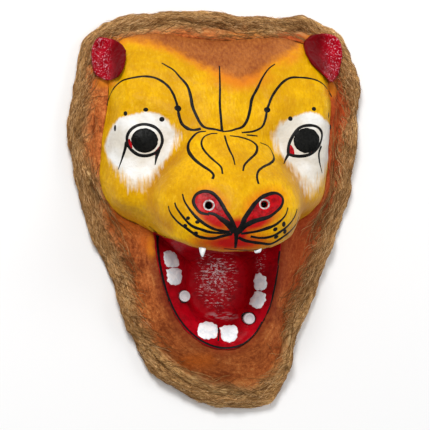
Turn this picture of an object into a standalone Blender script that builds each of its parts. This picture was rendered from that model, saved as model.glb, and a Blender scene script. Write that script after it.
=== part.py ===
# A painted tiger face mask: a matted plant-fibre body with a thick rolled rim, a smooth
# moulded face in high relief set into it, a red mouth bowl under the muzzle, two ears and
# two short round pegs in the lower jaw. It lies on the flat back of its rim, face up.
# +Z is out of the face, +Y to the crown, +X to the viewer's right. Sizes are in mm.
import bpy
import bmesh
import math
import numpy as np
from mathutils import Vector
from mathutils.bvhtree import BVHTree

for old in list(bpy.data.objects):
    bpy.data.objects.remove(old)

MM = 0.001
FINE = 12
STATION = 4
RING_CENTRE = (0.0, 25.0)
FIBRE_WALL = 4.5
FACE_WALL = 3.0
MOUTH_WALL = 3.0
SEAM = 0.8

# The rim's outer edge: bearing about the ring centre (degrees, 0 is +X), reach to the edge.
RIM = [
    (0, 119), (10, 124.5), (20, 130), (30, 146.5), (40, 154), (45, 162), (50, 165.5), (55, 164.5),
    (60, 162.5), (70, 148.5), (80, 143), (90, 143.5), (105, 149.5), (115, 157), (122, 161), (130, 164.5),
    (135, 161), (140, 152.5), (148, 141.5), (160, 132.5), (170, 124.5), (180, 116), (195, 114),
    (208, 114), (218, 116.5), (228, 126.5), (235, 135), (241, 148), (250, 165.5), (257, 174.5),
    (263, 182), (270, 189.5), (275, 193), (281, 195.5), (286, 191), (291, 179), (296, 157.5),
    (302, 139.5), (310, 131), (318, 122), (328, 116.5), (338, 114.5), (350, 116),
]

# The seam between the fibre body and what is set into it, walked anticlockwise from the
# face's right side over the crown, down the left cheek, and back along the mouth's outline.
SEAM_LINE = [
    # x, y, height
    (95, 24, 27), (97, 45, 27), (99, 71, 26), (99.5, 96, 25), (96.5, 117, 23), (88, 134, 21),
    (73, 145, 19), (45, 149, 18), (15, 146, 18), (-15, 147, 18), (-45, 151, 18), (-74, 148, 19),
    (-88, 135, 21), (-91.5, 116, 23), (-92, 95, 25), (-96.5, 68, 26), (-99, 43, 27),
    (-99, 24, 27), (-94, 10, 28), (-84, -2.5, 30), (-71, -10, 33), (-57, -15, 39),
    (-55, -30, 43), (-52, -49, 44), (-47, -67, 44), (-40.5, -83, 44), (-31, -97, 44),
    (-18, -108.5, 44), (-3, -115.5, 44), (12, -115.5, 44), (26, -108, 44), (36.5, -95, 44),
    (43, -80, 44), (47.5, -63, 44), (50.5, -46, 44), (53, -29, 43), (56, -15, 39),
    (69, -9, 33), (82, -1, 30), (91, 10, 28),
]

# Where the walk leaves the face for the mouth and comes back to it.
LEFT_CORNER = (-57, -15, 39)
RIGHT_CORNER = (56, -15, 39)

# Soft swellings of the face: name, x, y, reach across, reach along, rise.
SWELLINGS = [
    ("forehead", 0, 96, 62, 44, 7),
    ("left eye", -68, 60, 26, 22, 6),
    ("right eye", 71, 60, 26, 22, 6),
    ("left cheek", -74, 16, 24, 26, 8),
    ("right cheek", 74, 17, 24, 26, 8),
    ("nose root", 0, 50, 26, 34, 7),
    ("left whisker pad", -33, -12, 26, 20, 5),
    ("right whisker pad", 35, -12, 26, 20, 5),
    ("nose tip", 2, -6, 18, 18, 3),
    ("left nostril dish", -22, 4, 11, 9, -4),
    ("right nostril dish", 26, 4, 11, 9, -4),
    ("cleft between the brows", 0, 74, 9, 26, -3),
]

# Ridges over the eyes: name, centre x, centre y, ring radius, ridge half-width, rise.
BROWS = [
    ("left brow", -66, 62, 31, 9, 6),
    ("right brow", 69, 62, 31, 9, 6),
]

# The bowl's side: share of the way from its outline in to the floor's edge, then the share of
# the height still left there on the gum ledge and on the sloping palate under the lip.
BOWL = [
    (0.0, 1.0, 1.0), (0.08, 0.95, 0.93), (0.42, 0.77, 0.62), (0.77, 0.53, 0.28),
    (0.9, 0.2, 0.12), (1.0, 0.03, 0.03),
]
BOWL_CENTRE = (2.5, -62.0)
BOWL_FLOOR = (24.0, 26.5, 15.0)

NOSTRILS = [("left", -21.7, 5.1), ("right", 24.5, 6.0)]
NOSTRIL_RADIUS = 2.75
# Pegs: name, x, y, lean of the top toward the mouth's centre.
PEGS = [("canine_left", -28.0, -70.5), ("canine_right", 26.5, -89.5)]
PEG_RADIUS = 5.0
PEG_PLAY = 0.35
# Ears: the outline of each red pad, walked from its outer top corner over the top.
EARS = {
    "ear_left": [
        (-104.5, 142.9), (-96.6, 146.3), (-88.2, 144.4), (-80.7, 140.2), (-77.3, 134.0), (-78.6, 126.5),
        (-81.5, 118.1), (-86.1, 111.4), (-91.5, 108.8), (-99.0, 111.0), (-105.8, 117.5), (-107.6, 131.0),
    ],
    "ear_right": [
        (73.2, 138.5), (79.4, 147.4), (88.9, 150.2), (99.3, 150.1), (105.3, 145.1), (107.9, 137.0),
        (106.8, 122.5), (101.9, 111.7), (95.0, 108.2), (87.7, 113.7), (81.0, 119.8), (75.5, 128.6),
    ],
}


def smooth_step(value, low, high):
    share = np.clip((value - low) / (high - low), 0, 1)
    return share * share * (3 - 2 * share)


def closed_curve(rows):
    """Catmull-Rom through the rows of a closed table, FINE points from row to row."""
    knots = np.array(rows, float)
    fine = []
    for i in range(len(knots)):
        a, b, c, d = (knots[(i + k) % len(knots)] for k in (-1, 0, 1, 2))
        for t in np.arange(FINE) / FINE:
            fine.append(0.5 * (2 * b + (c - a) * t + (2 * a - 5 * b + 4 * c - d) * t**2
                               + (3 * b - a - 3 * c + d) * t**3))
    return np.array(fine)


def bearing_of(points):
    return np.degrees(np.arctan2(points[:, 1] - RING_CENTRE[1], points[:, 0] - RING_CENTRE[0])) % 360


def reach_at(bearings):
    """The rim's reach at any bearing, smoothed through its table."""
    rows = [(math.cos(math.radians(b)) * r, math.sin(math.radians(b)) * r) for b, r in RIM]
    fine = closed_curve(rows)
    turn = np.degrees(np.arctan2(fine[:, 1], fine[:, 0])) % 360
    order = np.argsort(turn)
    return np.interp(bearings, turn[order], np.hypot(fine[:, 0], fine[:, 1])[order], period=360)


def part(name, points, faces, colour, roughness):
    mesh = bpy.data.meshes.new(name)
    mesh.from_pydata([Vector(p) * MM for p in points], [], faces)
    sides = bmesh.new()
    sides.from_mesh(mesh)
    bmesh.ops.triangulate(sides, faces=sides.faces, quad_method="SHORT_EDGE")
    bmesh.ops.recalc_face_normals(sides, faces=sides.faces)
    if sides.calc_volume(signed=True) < 0:
        bmesh.ops.reverse_faces(sides, faces=sides.faces)
    sides.to_mesh(mesh)
    sides.free()
    piece = bpy.data.objects.new(name, mesh)
    bpy.context.collection.objects.link(piece)
    paint = bpy.data.materials.new(name)
    paint.use_nodes = True
    look = paint.node_tree.nodes["Principled BSDF"]
    look.inputs["Base Color"].default_value = (*colour, 1)
    look.inputs["Roughness"].default_value = roughness
    mesh.materials.append(paint)
    return piece


def lofted(rings, closed_ends):
    """Quads between rings of equal length; the last ring joins the first if asked."""
    count = len(rings[0])
    points = [tuple(p) for ring in rings for p in ring]
    faces = []
    for k in range(len(rings) if closed_ends else len(rings) - 1):
        a = k * count
        b = ((k + 1) % len(rings)) * count
        for i in range(count):
            j = (i + 1) % count
            faces.append((a + i, a + j, b + j, b + i))
    return points, faces


def thickened(points, faces, wall, straight_down):
    """Close an open sheet into a wall: its underside is set back along the normals, and
    straight down at the sheet's edge so that neighbours keep their seam."""
    sheet = bmesh.new()
    rows = [sheet.verts.new(p) for p in points]
    for face in faces:
        sheet.faces.new([rows[i] for i in face])
    bmesh.ops.recalc_face_normals(sheet, faces=sheet.faces)
    sheet.normal_update()
    flip = -1 if sum(v.normal.z for v in sheet.verts) < 0 else 1
    under = []
    for v in sheet.verts:
        if v.is_boundary:
            under.append(v.co - Vector((0, 0, straight_down)))
        else:
            under.append(v.co - flip * v.normal * wall)
    count = len(rows)
    sheet.verts.index_update()
    edges = []
    for e in sheet.edges:
        if e.is_boundary:
            loop = e.link_loops[0]
            edges.append((loop.vert.index, loop.link_loop_next.vert.index))
    sheet.free()
    all_points = [tuple(p) for p in points] + [tuple(p) for p in under]
    all_faces = [tuple(f) for f in faces] + [tuple(i + count for i in reversed(f)) for f in faces]
    all_faces += [(b, a, a + count, b + count) for a, b in edges]
    return all_points, all_faces


# FIBRE BODY. One ring of matted fibre: flat back, rolled outer edge, a shallow valley behind
# the roll, then the painted slope up to the face's edge or the mouth's outline.
seam = closed_curve(SEAM_LINE)
inner_x, inner_y, inner_z = seam[::STATION].T
bearings = bearing_of(seam[::STATION])
inner_reach = np.hypot(inner_x - RING_CENTRE[0], inner_y - RING_CENTRE[1])
outer_reach = reach_at(bearings)
room = outer_reach - inner_reach
roll = np.minimum(19.0, 0.68 * room)
swell = 1 + 0.1 * np.sin(np.radians(bearings * 5)) + 0.06 * np.sin(np.radians(bearings * 11 + 40))
crest = 15.5 * swell
valley = np.minimum(12.5 + 0.1 * (room - 20), inner_z - 5)
slope_room = room - roll


def ring_at(inset, height):
    reach = outer_reach - inset
    angle = np.radians(bearings)
    return np.stack([
        RING_CENTRE[0] + reach * np.cos(angle),
        RING_CENTRE[1] + reach * np.sin(angle),
        np.broadcast_to(height, reach.shape),
    ], axis=1)


rise = inner_z - valley
rings = [
    ring_at(roll * 0.78, 0.0),
    ring_at(roll * 0.16, 0.0),
    ring_at(roll * 0.03, crest * 0.22),
    ring_at(0.0 * roll, crest * 0.5),
    ring_at(roll * 0.1, crest * 0.82),
    ring_at(roll * 0.34, crest),
    ring_at(roll * 0.66, crest * 0.5 + valley * 0.5),
    ring_at(roll, valley),
    ring_at(roll + slope_room * 0.36, valley + rise * 0.36),
    ring_at(roll + slope_room * 0.7, valley + rise * 0.76),
    ring_at(room, inner_z),
    ring_at(room, inner_z - FIBRE_WALL),
    ring_at(roll + slope_room * 0.6, valley + rise * 0.6 - FIBRE_WALL * 1.3),
    ring_at(roll + slope_room * 0.16, valley * 0.5),
]
points, faces = lofted(rings, True)
fibre = part("fibre_body", points, faces, (0.3, 0.16, 0.06), 0.9)

# FACE. A grid laid between the seam and the under edge of the upper lip, lifted to the
# sum of its named swellings, the muzzle's dome and the brow ridges, then given its wall.
MUZZLE_MIDDLE = 1.0
MUZZLE_RISE = 59.0
MUZZLE_ROUND = 2.5
# The muzzle from under the lip to the brows: y, half-width at its foot, share of its rise.
MUZZLE_RUN = [
    (-40, 59, 0.76), (-33, 60.5, 0.83), (-22, 62.5, 0.93), (-10, 64, 0.995), (2, 65, 1.0),
    (14, 64, 0.95), (26, 59, 0.83), (38, 50, 0.62), (50, 39, 0.36), (62, 33, 0.15), (76, 31, 0.0),
]
COLUMNS = 38
ROWS = 27
LIP_ROWS = 3


def plate(x, y):
    """The broad form of forehead and cheeks without its edge."""
    down = np.clip((150 - y) / 150, 0, 1)
    return 45 + 14 * smooth_step(down, 0.1, 0.62) - 7 * (np.abs(x) / 95) ** 2.2


def muzzle(x, y):
    run, half, lift = np.array(MUZZLE_RUN, float).T
    across = np.abs(x - MUZZLE_MIDDLE) / np.interp(y, run, half)
    dome = np.clip(1 - across**MUZZLE_ROUND, 0, 1) ** (1 / MUZZLE_ROUND)
    return MUZZLE_RISE * np.interp(y, run, lift) * dome


def drawn_to_flank(x, y):
    """Draw the grid's columns closer together where the muzzle's side is steep."""
    run, half, lift = np.array(MUZZLE_RUN, float).T
    away = np.abs(x - MUZZLE_MIDDLE)
    off = np.clip((away - np.interp(y, run, half) + 2) / 15, -1, 1)
    pull = 3.4 * np.interp(y, run, lift) * smooth_step(y, -26, -8)
    return x - np.sign(x - MUZZLE_MIDDLE) * pull * np.sin(math.pi * off)


def swellings(x, y):
    total = np.zeros_like(x)
    for _, sx, sy, across, along, lift in SWELLINGS:
        reach = ((x - sx) / across) ** 2 + ((y - sy) / along) ** 2
        total += lift * np.exp(-1.6 * reach)
    for _, bx, by, radius, half, lift in BROWS:
        away = np.hypot(x - bx, (y - by) * 0.95)
        upper = smooth_step(y - by, -6, 12)
        total += lift * upper * np.exp(-(((away - radius) / half) ** 2))
    return total


def lip_share(x):
    """1 in the middle of the lip, 0 at the mouth's corners."""
    return np.clip(1 - np.abs(x / 57.5) ** 2.4, 0, 1)


def seam_stretch(start, stop, count):
    """Points of the seam from one table row to another, evenly spaced, anticlockwise."""
    first = SEAM_LINE.index(start) * FINE
    last = SEAM_LINE.index(stop) * FINE
    if last < first:
        last += len(seam)
    walk = seam[np.arange(first, last + 1) % len(seam)]
    steps = np.r_[0, np.cumsum(np.hypot(*np.diff(walk[:, :2], axis=0).T))]
    want = np.linspace(0, steps[-1], count)
    return np.stack([np.interp(want, steps, walk[:, axis]) for axis in range(3)], axis=1)


TOP_RIGHT = (88, 134, 21)
TOP_LEFT = (-88, 135, 21)
LOW_LEFT = (-94, 10, 28)
LOW_RIGHT = (91, 10, 28)
right_side = seam_stretch(LOW_RIGHT, TOP_RIGHT, ROWS)
top_side = seam_stretch(TOP_RIGHT, TOP_LEFT, COLUMNS)[::-1]
left_side = seam_stretch(TOP_LEFT, LOW_LEFT, ROWS)[::-1]
cheek = 6
left_cheek = seam_stretch(LOW_LEFT, LEFT_CORNER, cheek)
right_cheek = seam_stretch(RIGHT_CORNER, LOW_RIGHT, cheek)
lip_x = np.linspace(LEFT_CORNER[0], RIGHT_CORNER[0], COLUMNS - 2 * cheek + 2)[1:-1]
lip_under = np.stack([
    lip_x, -15 - 11.5 * lip_share(lip_x) ** 0.7, 39 + 47 * lip_share(lip_x) ** 0.75
], axis=1)
under_edge = np.vstack([left_cheek, lip_under, right_cheek])
lip_line = under_edge.copy()
lip_line[:, 1] -= 7.0 * lip_share(under_edge[:, 0]) ** 1.1 * (np.abs(under_edge[:, 0]) < 57.5)


def pulled_in(points, amount):
    """Move edge points toward the face's middle by the seam's width."""
    centre = np.array([0.0, 60.0])
    away = points[:, :2] - centre
    points = points.copy()
    points[:, :2] -= away / np.hypot(*away.T)[:, None] * amount
    return points


sides = [pulled_in(side, SEAM) for side in (left_side, right_side, top_side, lip_line)]
left_in, right_in, top_in, low_in = sides
across = np.linspace(0, 1, COLUMNS)[None, :, None]
along = np.linspace(0, 1, ROWS)[:, None, None]
grid = (
    (1 - across) * left_in[:, None] + across * right_in[:, None]
    + (1 - along) * low_in[None] + along * top_in[None]
    - (1 - across) * (1 - along) * left_in[0] - across * (1 - along) * right_in[0]
    - (1 - across) * along * left_in[-1] - across * along * right_in[-1]
)
x, y, edge_z = grid[..., 0].copy(), grid[..., 1], grid[..., 2]
x[1:-1, 1:-1] = drawn_to_flank(x, y)[1:-1, 1:-1]
side_run = np.minimum(across[..., 0], 1 - across[..., 0]) * 192 * np.ones_like(x)
top_run = (1 - along[..., 0]) * 150 * np.ones_like(x)
low_run = along[..., 0] * 150 * np.ones_like(x)
on_cheek = smooth_step(np.abs(x), 50, 62)
side_wall = 1 - (1 - np.clip(side_run / 17, 0, 1)) ** 2.6
top_wall = smooth_step(top_run, -14, 34) - smooth_step(0, -14, 34) * (1 - np.clip(top_run / 34, 0, 1))
low_wall = 1 - on_cheek * (1 - np.clip(low_run / 15, 0, 1)) ** 2.4
inside = side_wall * np.clip(top_wall, 0, 1) * low_wall
base = np.minimum(edge_z, 30)
height = base + (plate(x, y) + swellings(x, y) - base) * inside
height += muzzle(x, y) * np.minimum(low_wall, side_wall)
for _ in range(2):
    spread = height.copy()
    spread[1:-1, 1:-1] = 0.5 * height[1:-1, 1:-1] + 0.125 * (
        height[:-2, 1:-1] + height[2:, 1:-1] + height[1:-1, :-2] + height[1:-1, 2:]
    )
    height = spread
height[-1, :] = top_in[:, 2]
height[:, 0] = left_in[:, 2]
height[:, -1] = right_in[:, 2]
low_edge = pulled_in(under_edge, SEAM)
height[0] = low_edge[:, 2] + (height[0] - low_edge[:, 2]) * (np.abs(low_edge[:, 0]) < 57)
sheet_rows = []
for t, drop in ((0.0, 1.0), (0.3, 0.72), (0.72, 0.38)):
    row = low_edge.copy()
    row[:, 1] = low_edge[:, 1] + (low_in[:, 1] - low_edge[:, 1]) * (1 - (1 - t) ** 2)
    row[:, 2] = low_edge[:, 2] + (height[0] - low_edge[:, 2]) * (1 - drop)
    sheet_rows.append(row)
first_free = cheek
last_free = COLUMNS - cheek
points = []
index = {}
for r, row in enumerate(sheet_rows):
    for c in range(first_free, last_free):
        index[(r - LIP_ROWS, c)] = len(points)
        points.append(tuple(row[c]))
for r in range(ROWS):
    for c in range(COLUMNS):
        index[(r, c)] = len(points)
        points.append((x[r, c], y[r, c], height[r, c]))
faces = []
for r in range(-LIP_ROWS, ROWS - 1):
    for c in range(COLUMNS - 1):
        corners = [(r, c), (r, c + 1), (r + 1, c + 1), (r + 1, c)]
        if all(corner in index for corner in corners):
            faces.append([index[corner] for corner in corners])
for r in range(-LIP_ROWS, 0):
    faces.append([index[(r, first_free)], index[(r + 1, first_free)], index[(0, first_free - 1)]])
    faces.append([index[(r + 1, last_free - 1)], index[(r, last_free - 1)], index[(0, last_free)]])
sheet_points, sheet_faces = points, faces
points, faces = thickened(points, faces, FACE_WALL, 3.4)
face = part("face", points, faces, (0.85, 0.55, 0.03), 0.5)
for side, nx, ny in NOSTRILS:
    bpy.ops.mesh.primitive_cylinder_add(
        vertices=20, radius=NOSTRIL_RADIUS * MM, depth=60 * MM, location=(nx * MM, ny * MM, 110 * MM)
    )
    drill = bpy.context.object
    drill.name = f"nostril_{side}_drill"
    drill.hide_render = True
    drill.display_type = "WIRE"
    cut = face.modifiers.new(f"{side} nostril", "BOOLEAN")
    cut.operation = "DIFFERENCE"
    cut.solver = "EXACT"
    cut.object = drill

# MOUTH. A red bowl: its outline follows the seam round the lower jaw and the under edge of
# the upper lip, a gum ledge slopes in from it, then a short wall drops to the oval floor.
jaw_start = SEAM_LINE.index(LEFT_CORNER) * FINE
jaw_stop = SEAM_LINE.index(RIGHT_CORNER) * FINE
lower = seam[jaw_start:jaw_stop + 1:STATION]
upper = lip_under[::-1].copy()
upper[:, 1] -= 0.2
outline = np.vstack([lower, upper])
middle = np.array(BOWL_CENTRE)
half_wide, half_long, floor_z = BOWL_FLOOR
away = outline[:, :2] - middle
reach = np.hypot(*away.T)
toward = away / reach[:, None]
outline[:, :2] = middle + toward * (reach - SEAM)[:, None]
oval = (np.abs(toward[:, 0] / half_wide) ** 2.4 + np.abs(toward[:, 1] / half_long) ** 2.4) ** (-1 / 2.4)
floor_edge = middle + toward * oval[:, None]
under_lip = smooth_step(outline[:, 2], 42, 80)
rings = []
for share, ledge, palate in BOWL:
    left = ledge * (1 - under_lip) + palate * under_lip
    flat = outline[:, :2] + (floor_edge - outline[:, :2]) * share
    rings.append(np.c_[flat, floor_z + (outline[:, 2] - floor_z) * left])
centre = np.array([*BOWL_CENTRE, floor_z])
for share in (0.62, 0.3):
    rings.append(centre + (rings[len(BOWL) - 1] - centre) * share)
points, faces = lofted(rings, False)
centre_index = len(points)
points.append(tuple(centre))
count = len(outline)
start = (len(rings) - 1) * count
faces += [(start + i, start + (i + 1) % count, centre_index) for i in range(count)]
bowl_points, bowl_faces = points, faces
points, faces = thickened(points, faces, MOUTH_WALL, 3.2)
mouth = part("mouth", points, faces, (0.5, 0.01, 0.02), 0.25)

# PEGS. Two short round stubs with dished ends, standing through holes in the gum ledge.
bowl_tree = BVHTree.FromPolygons(bowl_points, bowl_faces)
for name, px, py in PEGS:
    spot, _, _, _ = bowl_tree.ray_cast(Vector((px, py, 200)), Vector((0, 0, -1)))
    profile = [
        (0.0, -5.5), (PEG_RADIUS, -5.5), (PEG_RADIUS, 2.6), (PEG_RADIUS - 0.7, 3.4),
        (PEG_RADIUS - 1.6, 3.0), (PEG_RADIUS - 2.6, 1.9), (0.0, 1.5),
    ]
    rings = []
    for radius, lift in profile[1:-1]:
        rings.append([
            (spot.x + radius * math.cos(a), spot.y + radius * math.sin(a), spot.z + lift)
            for a in np.arange(24) * math.tau / 24
        ])
    points, faces = lofted(rings, False)
    points += [(spot.x, spot.y, spot.z + profile[0][1]), (spot.x, spot.y, spot.z + profile[-1][1])]
    bottom, top = len(points) - 2, len(points) - 1
    last = (len(rings) - 1) * 24
    faces += [(bottom, (i + 1) % 24, i) for i in range(24)]
    faces += [(last + i, last + (i + 1) % 24, top) for i in range(24)]
    part(name, points, faces, (0.75, 0.72, 0.66), 0.5)
    bpy.ops.mesh.primitive_cylinder_add(
        vertices=24, radius=(PEG_RADIUS + PEG_PLAY) * MM, depth=40 * MM, location=spot * MM
    )
    drill = bpy.context.object
    drill.name = f"{name}_drill"
    drill.hide_render = True
    drill.display_type = "WIRE"
    cut = mouth.modifiers.new(f"{name} hole", "BOOLEAN")
    cut.operation = "DIFFERENCE"
    cut.solver = "EXACT"
    cut.object = drill

# EARS. Each is a red pad over the seam at a top corner, laid a little clear of the body and
# the face: it falls steeply from the face's edge, lies flat on its outer side, and has a
# slightly raised border.
fibre_points = [tuple(v.co / MM) for v in fibre.data.vertices]
fibre_faces = [tuple(p.vertices) for p in fibre.data.polygons]
offset = len(sheet_points)
ground = BVHTree.FromPolygons(
    [tuple(p) for p in sheet_points] + fibre_points,
    [tuple(f) for f in sheet_faces] + [tuple(i + offset for i in f) for f in fibre_faces],
)
EAR_CLEAR = 0.7
EAR_NEAR = 1.8
EAR_SIDES = 24
EAR_RINGS = (0.0, 0.26, 0.47, 0.65, 0.8, 0.92, 1.0)


def ground_over(x, y):
    """The highest ground at a spot and just round it."""
    heights = []
    for dx, dy in ((0, 0), (EAR_NEAR, 0), (-EAR_NEAR, 0), (0, EAR_NEAR), (0, -EAR_NEAR)):
        spot, _, _, _ = ground.ray_cast(Vector((x + dx, y + dy, 200)), Vector((0, 0, -1)))
        if spot is not None:
            heights.append(spot.z)
    return max(heights)


for name, rows in EARS.items():
    ear_edge = closed_curve([(*row, 0) for row in rows])[::len(rows) * FINE // EAR_SIDES, :2]
    ear_middle = ear_edge.mean(axis=0)
    bases = []
    tops = []
    for share in EAR_RINGS:
        for x, y in ear_middle + (ear_edge - ear_middle) * share:
            base_z = ground_over(x, y) + EAR_CLEAR
            border = smooth_step(share, 0.68, 0.92) - 0.6 * smooth_step(share, 0.92, 1.0)
            bases.append((x, y, base_z))
            tops.append((x, y, base_z + 2.4 + 1.6 * border))
            if share == 0.0:
                break
    faces = [(0, 1 + i, 1 + (i + 1) % EAR_SIDES) for i in range(EAR_SIDES)]
    for ring in range(len(EAR_RINGS) - 2):
        a = 1 + ring * EAR_SIDES
        faces += [(a + i, a + EAR_SIDES + i, a + EAR_SIDES + (i + 1) % EAR_SIDES,
                   a + (i + 1) % EAR_SIDES) for i in range(EAR_SIDES)]
    count = len(tops)
    edge = count - EAR_SIDES
    closed = [tuple(f) for f in faces] + [tuple(i + count for i in reversed(f)) for f in faces]
    for i in range(EAR_SIDES):
        j = (i + 1) % EAR_SIDES
        closed.append((edge + j, edge + i, edge + i + count, edge + j + count))
    part(name, tops + bases, closed, (0.6, 0.01, 0.02), 0.35)

# CENTRE. The origin is at the middle of the mask's box, on the plane it lies on.
pieces = [piece for piece in bpy.data.objects if not piece.hide_render]
corners = np.array([tuple(v.co) for piece in pieces for v in piece.data.vertices])
middle = (corners.min(axis=0) + corners.max(axis=0)) / 2
for thing in bpy.data.objects:
    thing.location.x -= middle[0]
    thing.location.y -= middle[1]
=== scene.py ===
import math

import bmesh
import bpy
import numpy as np
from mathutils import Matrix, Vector, noise
from mathutils.bvhtree import BVHTree


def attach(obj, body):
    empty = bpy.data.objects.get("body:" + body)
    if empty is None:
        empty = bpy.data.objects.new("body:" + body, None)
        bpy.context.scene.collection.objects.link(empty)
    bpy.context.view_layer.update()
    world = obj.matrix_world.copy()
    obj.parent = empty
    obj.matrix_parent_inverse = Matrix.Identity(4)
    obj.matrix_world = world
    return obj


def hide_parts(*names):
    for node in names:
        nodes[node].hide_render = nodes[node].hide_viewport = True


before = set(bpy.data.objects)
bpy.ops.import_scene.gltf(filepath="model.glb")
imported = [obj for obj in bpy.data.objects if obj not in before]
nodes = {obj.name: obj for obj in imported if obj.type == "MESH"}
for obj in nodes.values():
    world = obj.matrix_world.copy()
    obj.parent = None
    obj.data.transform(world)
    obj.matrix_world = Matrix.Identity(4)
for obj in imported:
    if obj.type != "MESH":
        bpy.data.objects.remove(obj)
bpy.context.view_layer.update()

# CAMERA. It looks down on the mask as it lies on its rim, turned toward the mask's left
# side as in the photo. Picture points below are pixels of the 430-pixel square picture.
TURN = math.radians(10)
SIDE = 430
MM_PER_PIXEL = 0.85
DISTANCE = 2.4
aim = Vector((0.0026, -0.0034, 0.0))
eye = aim + DISTANCE * Vector((-math.sin(TURN), 0, math.cos(TURN)))


def placed(name, data):
    """A new object in the scene."""
    piece = bpy.data.objects.new(name, data)
    bpy.context.collection.objects.link(piece)
    return piece


SENSOR = 36
lens = bpy.data.cameras.new("photo camera")
lens.lens = SENSOR * DISTANCE / (SIDE * MM_PER_PIXEL / 1000)
camera = placed("photo camera", lens)
camera.location = eye
camera.rotation_euler = (0, -TURN, 0)
bpy.context.scene.camera = camera

# FIBRE BODY. A ring of matted plant fibre, rolled into a thick rough rim and painted brown
# on the slope inside it. Its inner edge is tucked under the edges of the face and the mouth,
# which are set into it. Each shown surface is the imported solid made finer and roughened.
facing = camera.rotation_euler.to_matrix()
CENTRE = SIDE / 2
PIXELS_PER_SLOPE = DISTANCE / (MM_PER_PIXEL / 1000)


def picture_of(points):
    """Picture points of an array of world points."""
    local = (points - np.array(eye)) @ np.array(facing)
    slope = local[:, :2] / -local[:, 2:] * PIXELS_PER_SLOPE
    return np.stack([CENTRE + slope[:, 0], CENTRE - slope[:, 1]], 1)


def fine_copy(node, name, level):
    """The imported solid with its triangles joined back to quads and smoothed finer."""
    sheet = bmesh.new()
    sheet.from_mesh(nodes[node].data)
    bmesh.ops.remove_doubles(sheet, verts=sheet.verts, dist=2e-5)
    bmesh.ops.join_triangles(sheet, faces=sheet.faces, angle_face_threshold=0.9,
                             angle_shape_threshold=1.3)
    coarse = bpy.data.meshes.new(name + " coarse")
    sheet.to_mesh(coarse)
    sheet.free()
    rough = placed(name + " coarse", coarse)
    smooth = rough.modifiers.new("finer", "SUBSURF")
    smooth.levels = level
    smooth.render_levels = level
    graph = bpy.context.evaluated_depsgraph_get()
    fine = bpy.data.meshes.new_from_object(rough.evaluated_get(graph))
    bpy.data.objects.remove(rough)
    fine.name = name
    fine.materials.clear()
    fine.shade_smooth()
    return placed(name, fine)


def points_of(mesh):
    flat = np.empty(len(mesh.vertices) * 3, np.float32)
    mesh.vertices.foreach_get("co", flat)
    return flat.reshape(-1, 3).astype(float)


def normals_of(mesh):
    flat = np.empty(len(mesh.vertices) * 3, np.float32)
    mesh.vertices.foreach_get("normal", flat)
    return flat.reshape(-1, 3).astype(float)


def move_to(mesh, points):
    mesh.vertices.foreach_set("co", points.astype(np.float32).ravel())
    mesh.update()


def give(mesh, name, values):
    """Store one number per point, for a material to read as a paint field."""
    layer = mesh.attributes.new(name, "FLOAT", "POINT")
    layer.data.foreach_set("value", np.asarray(values, np.float32))


def tree_of(pieces):
    """One ray-cast tree over several pieces."""
    corners = []
    sides = []
    for piece in pieces:
        start = len(corners)
        corners += [tuple(v.co) for v in piece.data.vertices]
        sides += [tuple(i + start for i in p.vertices) for p in piece.data.polygons]
    return BVHTree.FromPolygons(corners, sides)


def smooth_step(value, low, high):
    share = np.clip((value - low) / (high - low), 0, 1)
    return share * share * (3 - 2 * share)


def blob(at, cx, cy, across, along, turn=0.0):
    """Picture distance inside an ellipse, positive inside it."""
    c, s = math.cos(math.radians(turn)), math.sin(math.radians(turn))
    x, y = at[:, 0] - cx, at[:, 1] - cy
    u, v = (x * c + y * s) / across, (y * c - x * s) / along
    return (1 - np.hypot(u, v)) * min(across, along)


def amber_at(at):
    """Where orange-yellow paint lies round the ears and outside the mouth's left corner."""
    return np.maximum.reduce([
        blob(at, 151, 246, 6, 18), blob(at, 107, 83, 16, 8), blob(at, 331, 90, 9, 12),
        blob(at, 314, 36, 17, 7, -10), blob(at, 117, 40, 15, 7, 32), blob(at, 305, 46, 6, 9),
    ])


TUCK_REACH = 0.003
TUCK_IN = 0.0024
TUCK_DOWN = 0.0003
FINENESS = 2
body = fine_copy("fibre_body", "matted_fibre", FINENESS)
inner_tree = tree_of([nodes["face"], nodes["mouth"]])
points = points_of(body.data)
for i, p in enumerate(points):
    spot, _, _, gap = inner_tree.find_nearest(Vector(p), TUCK_REACH)
    if spot is not None:
        push = Vector((spot.x - p[0], spot.y - p[1], 0))
        if push.length > 1e-5:
            share = 1 - gap / TUCK_REACH
            points[i, :2] += np.array(push.normalized()[:2]) * TUCK_IN * share
            points[i, 2] -= TUCK_DOWN * share
# how far in from the rim each point lies, by its bearing from the ring's middle
middle = np.array([0.0, 0.025])
reach = np.hypot(*(points[:, :2] - middle).T)
bearing = np.arctan2(points[:, 1] - middle[1], points[:, 0] - middle[0])
RIM_STEPS = 240
steps = ((bearing + math.pi) / math.tau * RIM_STEPS).astype(int) % RIM_STEPS
rim = np.zeros(RIM_STEPS)
np.maximum.at(rim, steps, reach)
rim = np.maximum(rim, 0.5 * (np.roll(rim, 1) + np.roll(rim, -1)))


def rim_reach_at(bearing):
    """How far the rim reaches from its middle at a bearing, between the measured steps."""
    step = (bearing + math.pi) % math.tau / math.tau * RIM_STEPS
    return np.interp(step, np.arange(-1, RIM_STEPS + 1) + 0.5, np.r_[rim[-1], rim, rim[0]])


inset = rim_reach_at(bearing) - reach
rolled = 1 - smooth_step(inset, 0.013, 0.024)
above = smooth_step(points[:, 2], 0.0015, 0.006)
normals = normals_of(body.data)
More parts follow.
